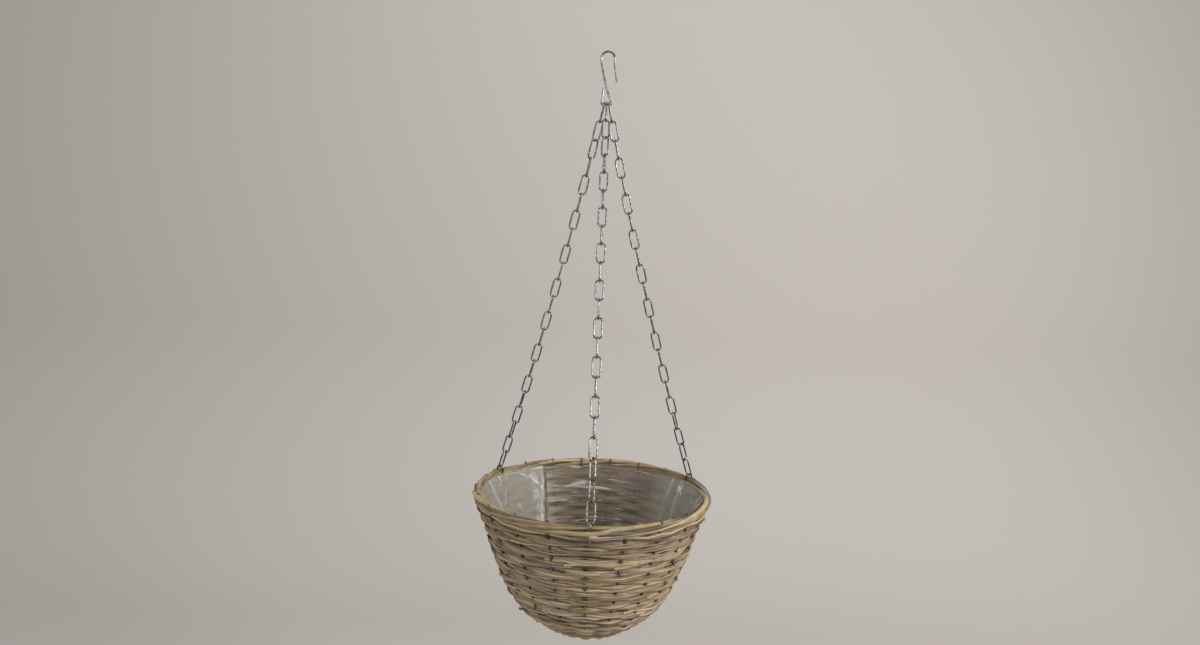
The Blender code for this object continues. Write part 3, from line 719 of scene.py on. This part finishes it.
# Rods: thickness at the butt and the tip's share of it, how far one lies off its
# place up or down and out or in, how its line wanders and its strand drifts, how
# uneven and knobbly it is, how far its ends stand out or in, over so many steps,
# and how far a strand's outer rods lie back. A rate is for one step of the spiral.
ROD_BUTT = (0.0022, 0.0031)
ROD_TIP_SHARES = (0.68, 0.92)
ROD_LIFT = 0.0002
ROD_OUT = 0.0007
ROD_TONES = 2.4
WANDER = 0.0009
WANDER_RATE = 0.060
STRAND_DRIFT = 0.0009
DRIFT_RATE = 0.110
UNEVEN = 0.0012
UNEVEN_RATE = 0.14
KNOBBLY = 0.10
KNOBBLY_RATE = 0.16
ENDS_PROUD = (-0.0014, -0.0008, 0.0006, 0.0020, 0.0034)
END_STEPS = 3
CROWN = 0.0004
SHORTEST_ROD_SHARE = 0.45
JOIN_STEPS = (-3, 2)


def fan(over):
    """How far apart a strand's rods lie: widest where they bend round a stake.

    The strands above and below leave a slit there, where the stake shows.
    """
    return FAN_LEAST + FAN_MORE * over * over


def willow_rod(dice, meridian, lane, start, end):
    """One rod of a strand, from step to step along the spiral."""
    butt = dice.uniform(*ROD_BUTT)
    tip = butt * dice.uniform(*ROD_TIP_SHARES)
    lift = dice.uniform(-ROD_LIFT, ROD_LIFT)
    out = dice.uniform(-ROD_OUT, ROD_OUT)
    tone = dice.betavariate(ROD_TONES, ROD_TONES)
    phase = dice.uniform(0.0, 50.0)
    proud = dice.choice(ENDS_PROUD)
    points, sizes, tucks = [], [], []
    for at in range(start, end + 1):
        turns = at / STEPS_A_TURN
        over = math.cos(math.pi * STAKES * turns)
        wander = noise.noise(Vector((at * WANDER_RATE, phase, lane))) * (1.0 - 0.6 * abs(over))
        drift = STRAND_DRIFT * noise.noise(Vector((at * DRIFT_RATE, 3.7, 0.0)))
        run = turns * ROW_PITCH + lane * fan(over) + lift + drift + WANDER * wander
        place, normal = meridian.at(run)
        ends = min(at - start, end - at)
        tuck = max(0.0, 1.0 - ends / END_STEPS) * proud
        crown = -CROWN * lane * lane * over * abs(over)
        uneven = out + UNEVEN * noise.noise(Vector((at * UNEVEN_RATE, phase + 9.0, lane)))
        place = place + normal * (WEAVE_SWING * over - WEAVE_DEPTH + tuck + crown + uneven)
        points.append(turned_to(FIRST_STAKE + 2 * math.pi * turns, place.x, place.y))
        share = (at - start) / max(1, end - start)
        knobbly = 1.0 + KNOBBLY * noise.noise(Vector((at * KNOBBLY_RATE, phase, 5.0)))
        sizes.append((butt + (tip - butt) * share) * knobbly)
        # How far a strand is tucked in behind a stake; the bark's painted shade follows it.
        tucks.append(max(0.0, -over) ** 3)
    return Line(points, sizes, tone, False, tucks)


def weave_lines(meridian):
    """Willow strands over one stake and under the next, in one long spiral.

    The first turn fills the border's inside, where its rods draw together.
    """
    dice = random.Random(WEAVE_SEED)
    total = int(meridian.length / ROW_PITCH * STEPS_A_TURN)
    lines = []
    for lane in STRAND:
        start = -STEPS_A_TURN
        while start < total:
            steps = dice.randint(int(SHORTEST_ROD_SHARE * STEPS_A_TURN), STEPS_A_TURN)
            end = min(start + steps, total)
            if total - end < 3 * BAY_STEPS:
                end = total
            lines.append(willow_rod(dice, meridian, lane, start, end))
            start = end + dice.randint(*JOIN_STEPS) if end < total else total
    return lines


def woven_wall(material, meridian):
    """All the wall's rods as one mesh, in place of the CAD wall."""
    tree = wire_tree("willow_rods", material)
    rods = lines_mesh("weave_lines", weave_lines(meridian))
    mesh = grow(tree, rods, sides=6, bark_depth=0.0004, bark_scale=260.0)
    place_piece("woven_willow_wall", outward(mesh), "basket", "willow", "woven_wall")


# Base: how high its weave lies over the underside, its rows of two rods from its
# edge inwards, how far they swing over and under the spokes, and the spokes.
BASE_LIFT = 0.0030
BASE_ROWS = 6
BASE_MARGIN = 0.0030
BASE_ROW_PITCH = 0.0052
BASE_ROD_PITCH = 0.0026
BASE_ROD = (0.0026, 0.0031)
BASE_SWING = 0.0012
BASE_UNEVEN = 0.0002
BASE_STEPS = STAKES * 6
BASE_SEED = 29
SPOKE_WIRE = 0.0018
SPOKE_INNER = 0.0010
SPOKE_MARGIN = 0.0020
SPOKE_TONE = 0.2


def woven_base(material):
    """The base's weave: rings of rods, laid flat over and under the spokes."""
    dice = random.Random(BASE_SEED)
    height = BASE_BOTTOM + BASE_LIFT
    lines = []
    for row in range(BASE_ROWS):
        radius = BASE_RADIUS - BASE_MARGIN - row * BASE_ROW_PITCH
        for lane in (0, 1):
            points = []
            for at in range(BASE_STEPS + 1):
                turn = 2 * math.pi * at / BASE_STEPS
                over = math.cos(turn * STAKES / 2 + math.pi * row)
                uneven = BASE_UNEVEN * noise.noise(Vector((at * 0.1, row, lane)))
                ring = radius - BASE_ROD_PITCH * lane - uneven
                points.append(turned_to(FIRST_STAKE + turn, ring, height - BASE_SWING * over))
            lines.append(Line(points, dice.uniform(*BASE_ROD), dice.betavariate(2.4, 2.6)))
    for index in range(STAKES):
        angle = FIRST_STAKE + 2 * math.pi * index / STAKES
        edge = BASE_RADIUS - SPOKE_MARGIN
        spoke = [turned_to(angle, SPOKE_INNER, height), turned_to(angle, edge, height)]
        lines.append(Line(spoke, SPOKE_WIRE, SPOKE_TONE))
    tree = wire_tree("base_rods", material)
    mesh = grow(tree, lines_mesh("base_lines", lines), sides=6, bark_depth=0.0003, bark_scale=260.0)
    place_piece("woven_willow_base", outward(mesh), "basket", "willow", "woven_base")


def chain_nearness(angle, reach):
    """One at a chain's azimuth, falling smoothly to zero at the reach."""
    near = 0.0
    for azimuth in AZIMUTHS.values():
        apart = abs(math.remainder(angle - (math.radians(azimuth) - math.pi / 2), 2 * math.pi))
        share = max(0.0, 1.0 - apart / reach)
        near = max(near, share * share * (3.0 - 2.0 * share))
    return near


# Border: how far its rods lie from the rim's centre line, the share by which
# they draw together towards its top, how much narrower the rim is from side to
# side, and where the rods pass inside or outside a chain's last link.
BORDER_RODS = 7
BORDER_ROD = (0.0042, 0.0054)
BORDER_STEPS = 210
BORDER_SEED = 5
BORDER_OUT = 0.0028
BORDER_UP = 0.0068
BORDER_DRAWN = 0.52
RIM_OVAL = 0.0030
INSIDE_LINK = 0.0009
OUTSIDE_LINK = 0.0064
CHAIN_REACH = math.radians(15.0)

# How the border's rods twist round each other, so many times in the rim's round,
# how unevenly, and how they wander: so many waves in a radian, and how far.
BORDER_TWISTS = 3
TWIST_UNEVEN = 0.45
TWIST_SHIFT = 1.7
BORDER_WAVES = 2.6
BORDER_WANDER = 0.0012


def border(material):
    """The border: long rods laid round the rim and twisted slowly round each
    other, most of them inside the last links and one or two outside."""
    dice = random.Random(BORDER_SEED)
    middle = (RIM_TOP + RIM_BOTTOM) / 2
    lines = []
    for rod in range(BORDER_RODS):
        begin = 2 * math.pi * rod / BORDER_RODS
        thick = dice.uniform(*BORDER_ROD)
        phase = dice.uniform(0.0, 30.0)
        points, sizes = [], []
        for at in range(BORDER_STEPS):
            turn = 2 * math.pi * at / BORDER_STEPS
            angle = turn - math.pi / 2
            uneven = TWIST_UNEVEN * math.sin(2 * turn + TWIST_SHIFT * rod)
            twist = begin + BORDER_TWISTS * turn + uneven
            wave = (BORDER_WAVES * math.cos(turn), BORDER_WAVES * math.sin(turn), phase)
            wander = noise.noise(Vector(wave))
            out = BORDER_OUT * math.cos(twist) + BORDER_WANDER * wander - RIM_OVAL * math.cos(angle) ** 2
            outside = math.cos(twist) > 0.1 and math.sin(twist) < 0.5
            beside = OUTSIDE_LINK if outside else INSIDE_LINK * math.cos(twist)
            out += (beside - out) * chain_nearness(angle, CHAIN_REACH)
            rise = BORDER_DRAWN + (1.0 - BORDER_DRAWN) * math.sin(twist)
            height = middle + BORDER_UP * rise + BORDER_WANDER * wander
            points.append(turned_to(angle, RIM_RADIUS + out, height))
            sizes.append(thick * (1.0 + KNOBBLY * wander))
        lines.append(Line(points, sizes, dice.betavariate(2.2, 2.0), True))
    tree = wire_tree("border_rods", material)
    mesh = grow(tree, lines_mesh("border_lines", lines), sides=8, bark_depth=0.0004, bark_scale=220.0)
    place_piece("willow_border", outward(mesh), "basket", "willow_rod",
                "rim_rod_top", "rim_rod_middle", "rim_rod_lower")


# Stakes: each waves a little, in where a strand passes outside it and out where
# one passes inside, with a small hook over the border's inner rods, but none
# beside a chain. They end round the middle of the base.
STAKE_WIRE = 0.0018
STAKE_SWING = 0.0010
STAKE_STEPS = 116
STAKES_MEET = 0.004
HOOK_BEND = 0.0028
HOOK_INSET = 0.0020
HOOK_TIP_DOWN = 0.0050
HOOK_LEG_DOWN = 0.0100
HOOK_STEPS = 6
NO_HOOK_WITHIN = math.radians(5.0)


def wire_stakes(material, meridian):
    """Dark wire stakes inside the weave, hooked over the border's inner rods."""
    lines = []
    centre = Vector((RIM_RADIUS - HOOK_INSET, RIM_TOP - HOOK_BEND))
    for index in range(STAKES):
        angle = FIRST_STAKE + 2 * math.pi * index / STAKES
        profile = []
        if chain_nearness(angle, NO_HOOK_WITHIN) == 0.0:
            profile.append(centre + Vector((HOOK_BEND, -HOOK_TIP_DOWN)))
            for part in range(HOOK_STEPS + 1):
                swing = math.pi * part / HOOK_STEPS
                profile.append(centre + Vector((math.cos(swing), math.sin(swing))) * HOOK_BEND)
        profile.append(centre + Vector((-HOOK_BEND, -HOOK_LEG_DOWN)))
        for part in range(STAKE_STEPS + 1):
            run = meridian.length * part / STAKE_STEPS
            place, normal = meridian.at(run)
            over = math.cos(math.pi * (run / ROW_PITCH - index / STAKES + index))
            profile.append(place - normal * (WEAVE_DEPTH + STAKE_SWING * over))
        profile.append(Vector((STAKES_MEET, BASE_BOTTOM + BASE_LIFT)))
        lines.append(Line([turned_to(angle, p.x, p.y) for p in profile], STAKE_WIRE))
    mesh = grow(wire_tree("stake_wires", material), lines_mesh("stake_lines", lines), sides=8)
    place_piece("wire_stakes", outward(mesh), "basket", "stakes", "stake_cage")


def film_profile():
    """The film's path from its edge by the rim down to the middle of the base."""
    line = outer_profile() + [Vector((0.0, WALL_TOP - WALL_HEIGHT))]
    normals = []
    for start, end in zip(line, line[1:]):
        along = (end - start).normalized()
        normals.append(Vector((along.y, -along.x)))
    moved = [line[0] + normals[0] * LINER_DEPTH]
    for index in range(1, len(line) - 1):
        both = (normals[index - 1] + normals[index]).normalized()
        moved.append(line[index] + both * (LINER_DEPTH / both.dot(normals[index])))
    moved.append(line[-1] + normals[-1] * LINER_DEPTH)
    share = (LINER_RADIUS - moved[0].x) / (moved[1].x - moved[0].x)
    knee = moved[0] + (moved[1] - moved[0]) * share
    return [Vector((LINER_RADIUS, RIM_TOP - FILM_TOP_DOWN)), knee] + moved[1:]


# Liner: the film is pressed flat at the back, where its edge lies lower, and
# hangs slack at the sides, in facets, so many to a metre.
# Each slack stretch has its directions from +X, how softly it begins and ends,
# and how slack it gets. The photograph's left one begins with a sharp edge.
SLACK = (
    (math.radians(-56.0), math.radians(50.0), 0.45, 1.0),
    (math.radians(121.0), math.radians(236.0), 0.015, 1.0),
)
EDGE_LEAN = 1.0
SLACK_BELOW = (0.100, 0.185)
BASE_SLACK = 0.6
FILM_RINGS = 96
FILM_SPOKES = 288
FILM_TOP_DOWN = 0.0042
FILM_LIP = 0.0030
LIP_WAVES = 24.0
FILM_LOW = 0.0038
LOW_REACH = 0.030
FACET_LARGE = 30.0
FACET_SMALL = 75.0
FACET_LARGE_DEPTH = 0.0030
FACET_SMALL_DEPTH = 0.0010

# Flat, the film keeps a share of its facets and takes the strands' relief. It is
# calmer in the middle of the base, and by its edge, where a share is left.
FLAT_SHARE = 0.15
ROW_DEPTH = 0.0005
CALM_RADIUS = 0.05
EDGE_SHARE = 0.35
EDGE_REACH = 0.02

# Folds: one along each slack stretch's first edge, and some more across it, each
# with its width in radians, its height and its slant in radians to a metre of
# depth. They take their direction at a depth of 60 mm.
EDGE_FOLD = (0.010, 0.0024)
FOLDS = 6
FOLD_WIDTH = (0.006, 0.018)
FOLD_HEIGHT = (0.0010, 0.0030)
FOLD_SLANT = (-1.6, 1.6)
FOLDS_FROM = 0.06
FULL_FOLD = 0.0030
FILM_SEED = 17


def slackness(angle, run):
    """How slack the film hangs, from zero to one."""
    most = 0.0
    for low, high, edge, slack in SLACK:
        start = low + EDGE_LEAN * run
        middle = (start + high) / 2
        inside = (high - start) / 2 - abs(math.remainder(angle - middle, 2 * math.pi))
        share = min(1.0, max(0.0, inside / edge + 0.5))
        most = max(most, slack * share * share * (3.0 - 2.0 * share))
    loose = min(1.0, max(0.0, (run - SLACK_BELOW[0]) / (SLACK_BELOW[1] - SLACK_BELOW[0])))
    return most + (BASE_SLACK - most) * loose


def film_folds():
    """Each fold's direction, width, height and slant."""
    dice = random.Random(FILM_SEED)
    folds = []
    for low, high, _, _ in SLACK:
        folds.append((low + EDGE_LEAN * FOLDS_FROM, *EDGE_FOLD, EDGE_LEAN))
        for _ in range(FOLDS):
            folds.append((dice.uniform(low, high), dice.uniform(*FOLD_WIDTH),
                          dice.uniform(*FOLD_HEIGHT), dice.uniform(*FOLD_SLANT)))
    return folds


def fold_height(folds, angle, run):
    """How far the highest fold stands in from the film at a place."""
    most = 0.0
    for centre, width, height, slant in folds:
        apart = abs(math.remainder(angle - centre - slant * (run - FOLDS_FROM), 2 * math.pi))
        most = max(most, height * max(0.0, 1.0 - apart / (width * 3)) ** 1.5)
    return most


def film_relief(flat, angle, run, slack):
    """How far the film's facets stand in, with the strands where it is pressed flat."""
    large = noise.voronoi(flat * FACET_LARGE)[0]
    small = noise.voronoi(flat * FACET_SMALL)[0]
    crumple = FACET_LARGE_DEPTH * large[0] + FACET_SMALL_DEPTH * small[0]
    turns = (angle - FIRST_STAKE) / (2 * math.pi)
    rows = math.cos(math.pi * STAKES * turns) * math.cos(math.pi * (run / ROW_PITCH - turns))
    facets = crumple * (FLAT_SHARE + (1.0 - FLAT_SHARE) * slack)
    return facets + ROW_DEPTH * (1.0 - rows) * (1.0 - 0.6 * slack)


def film_points():
    """The film's points, ring by ring from its edge down, with how creased and how
    slack it is at each. The last point is its pole in the middle of the base."""
    folds = film_folds()
    profile = film_profile()
    runs = run_lengths(profile)
    places, creases, loose = [], [], []
    for ring in range(FILM_RINGS):
        run = runs[-1] * (ring / FILM_RINGS)
        seek = max(i for i in range(len(runs) - 1) if runs[i] <= run)
        share = (run - runs[seek]) / (runs[seek + 1] - runs[seek])
        spot = profile[seek].lerp(profile[seek + 1], share)
        along = (profile[seek + 1] - profile[seek]).normalized()
        inward = Vector((along.y, -along.x))
        calm = min(1.0, spot.x / CALM_RADIUS) * min(1.0, EDGE_SHARE + run / EDGE_REACH)
        for spoke in range(FILM_SPOKES):
            angle = 2 * math.pi * spoke / FILM_SPOKES
            slack = slackness(angle, run)
            fold = fold_height(folds, angle, run)
            flat = turned_to(angle, spot.x, spot.y)
            place = spot + inward * ((fold + film_relief(flat, angle, run, slack)) * calm)
            if ring == 0:
                place = place + Vector((0.0, FILM_LIP * noise.noise(flat * LIP_WAVES)))
            low_share = max(0.0, math.sin(angle)) * max(0.0, 1.0 - run / LOW_REACH)
            places.append(turned_to(angle, place.x, place.y - FILM_LOW * low_share))
            creases.append(slack * min(1.0, fold / FULL_FOLD))
            loose.append(slack)
    places.append(Vector((0.0, 0.0, profile[-1].y)))
    creases.append(0.0)
    loose.append(0.0)
    return places, creases, loose


def film_faces():
    """Squares between the film's rings, and triangles from the last one to the pole."""
    faces = []
    for ring in range(FILM_RINGS - 1):
        low = ring * FILM_SPOKES
        for spoke in range(FILM_SPOKES):
            after = (spoke + 1) % FILM_SPOKES
            faces.append((low + spoke, low + after, low + FILM_SPOKES + after, low + FILM_SPOKES + spoke))
    last = (FILM_RINGS - 1) * FILM_SPOKES
    for spoke in range(FILM_SPOKES):
        faces.append((last + spoke, last + (spoke + 1) % FILM_SPOKES, last + FILM_SPOKES))
    return faces


def crinkled_liner(material):
    """Clear film on the weave: it shows the rows where it is flat and crumples where it is slack."""
    places, creases, loose = film_points()
    mesh = bpy.data.meshes.new("film")
    mesh.from_pydata(places, [], film_faces())
    add_layers(mesh, fold=creases, slack=loose)
    mesh.materials.append(material)
    outward(mesh)
    mesh.shade_smooth()
    area = sum(face.area for face in mesh.polygons)
    return place_piece("film_liner", mesh, "basket", "film", "liner"), area


# Camera, light and backdrop

# The camera's place, angles and focal length, a share of the picture's width, were
# fitted to the photograph. The key and fill lights aim just above the basket.
SENSOR_WIDTH = 36.0
FOCAL_SHARE = 712.6 / 1200
CAMERA_PITCH = math.radians(3.2)
CAMERA_ROLL = math.radians(2.15)
CAMERA_PLACE = (0.002, -0.865, -0.2736)
LAMP_TARGET = (0.0, 0.0, -0.5)
FLOOR = -1.15
SWEEP_START = 0.9
SWEEP_BEND = 0.7
SWEEP_STEPS = 12
SWEEP_TOP = -0.45
BACK_WALL = 1.6


def camera():
    """The photograph's view: level with the chains, 3.2 degrees down, a little rolled."""
    data = bpy.data.cameras.new("camera")
    data.sensor_fit = "HORIZONTAL"
    data.sensor_width = SENSOR_WIDTH
    data.lens = FOCAL_SHARE * SENSOR_WIDTH
    data.clip_start = 0.01
    item = new_item("camera", data)
    right = Vector((1.0, 0.0, 0.0))
    up = Vector((0.0, math.sin(CAMERA_PITCH), math.cos(CAMERA_PITCH)))
    back = Vector((0.0, -math.cos(CAMERA_PITCH), math.sin(CAMERA_PITCH)))
    across = right * math.cos(CAMERA_ROLL) + up * math.sin(CAMERA_ROLL)
    above = up * math.cos(CAMERA_ROLL) - right * math.sin(CAMERA_ROLL)
    item.matrix_world = Matrix((across, above, back)).transposed().to_4x4()
    item.location = CAMERA_PLACE
    bpy.context.scene.camera = item


def lamp(name, place, target, size, power):
    """A square white lamp, turned towards its target."""
    data = bpy.data.lights.new(name, "AREA")
    data.shape = "SQUARE"
    data.size = size
    data.energy = power
    item = new_item(name, data)
    item.location = place
    item.rotation_euler = (Vector(target) - Vector(place)).to_track_quat("-Z", "Y").to_euler()


def studio():
    """A plain warm-grey sweep behind and below, and soft light from above and the front."""
    material, _, shader = new_material("painted_backdrop", "#C2BDB8", 0.0, 0.9)
    shader.inputs["Specular IOR Level"].default_value = 0.1
    line = [(-4.0, FLOOR), (SWEEP_START, FLOOR)]
    for step in range(1, SWEEP_STEPS):
        swing = math.pi / 2 * step / SWEEP_STEPS
        line.append((SWEEP_START + SWEEP_BEND * math.sin(swing), SWEEP_TOP - SWEEP_BEND * math.cos(swing)))
    line += [(BACK_WALL, SWEEP_TOP), (BACK_WALL, 3.0)]
    places, faces = [], []
    for y, z in line:
        places += [(-5.0, y, z), (5.0, y, z)]
    for index in range(len(line) - 1):
        low = 2 * index
        faces.append((low, low + 1, low + 3, low + 2))
    mesh = bpy.data.meshes.new("backdrop")
    mesh.from_pydata(places, [], faces)
    mesh.materials.append(material)
    mesh.shade_smooth()
    item = new_item("backdrop", mesh)
    lamp("key_light", (1.9, -1.0, 0.4), LAMP_TARGET, 1.0, 46.0)
    lamp("fill_light", (-1.3, -1.3, 0.4), LAMP_TARGET, 1.4, 12.0)
    lamp("backdrop_light", (0.0, 0.3, 1.6), (0.0, 1.2, -0.8), 1.6, 8.0)
    world = bpy.data.worlds.new("studio_air")
    world.use_nodes = True
    air = world.node_tree.nodes["Background"]
    air.inputs["Color"].default_value = linear("#F2F1EF")
    air.inputs["Strength"].default_value = 0.55
    bpy.context.scene.world = world
    bpy.context.scene.view_settings.view_transform = "Standard"


def main():
    camera()
    studio()
    zinc = zinc_plate("zinc_plated_wire", "#7E817D", 0.20)
    stake_metal = zinc_plate("dark_stake_wire", "#6A6A69", 0.42)
    willow = unpeeled_willow("unpeeled_willow", (
        (0.00, "#2A2016"), (0.20, "#5F4D38"), (0.42, "#806D52"), (0.66, "#9B886B"), (0.92, "#B9A988")))
    rods = unpeeled_willow("border_willow", (
        (0.00, "#413223"), (0.25, "#6A5840"), (0.50, "#8F7B57"), (0.75, "#AF9B77"), (1.00, "#D0BE97")), 1.6)
    film = clear_film("clear_polythene_film")
    meridian = Meridian()
    bent_hook(zinc)
    chains(zinc)
    woven_wall(willow, meridian)
    woven_base(willow)
    border(rods)
    wire_stakes(stake_metal, meridian)
    liner, area = crinkled_liner(film)


main()
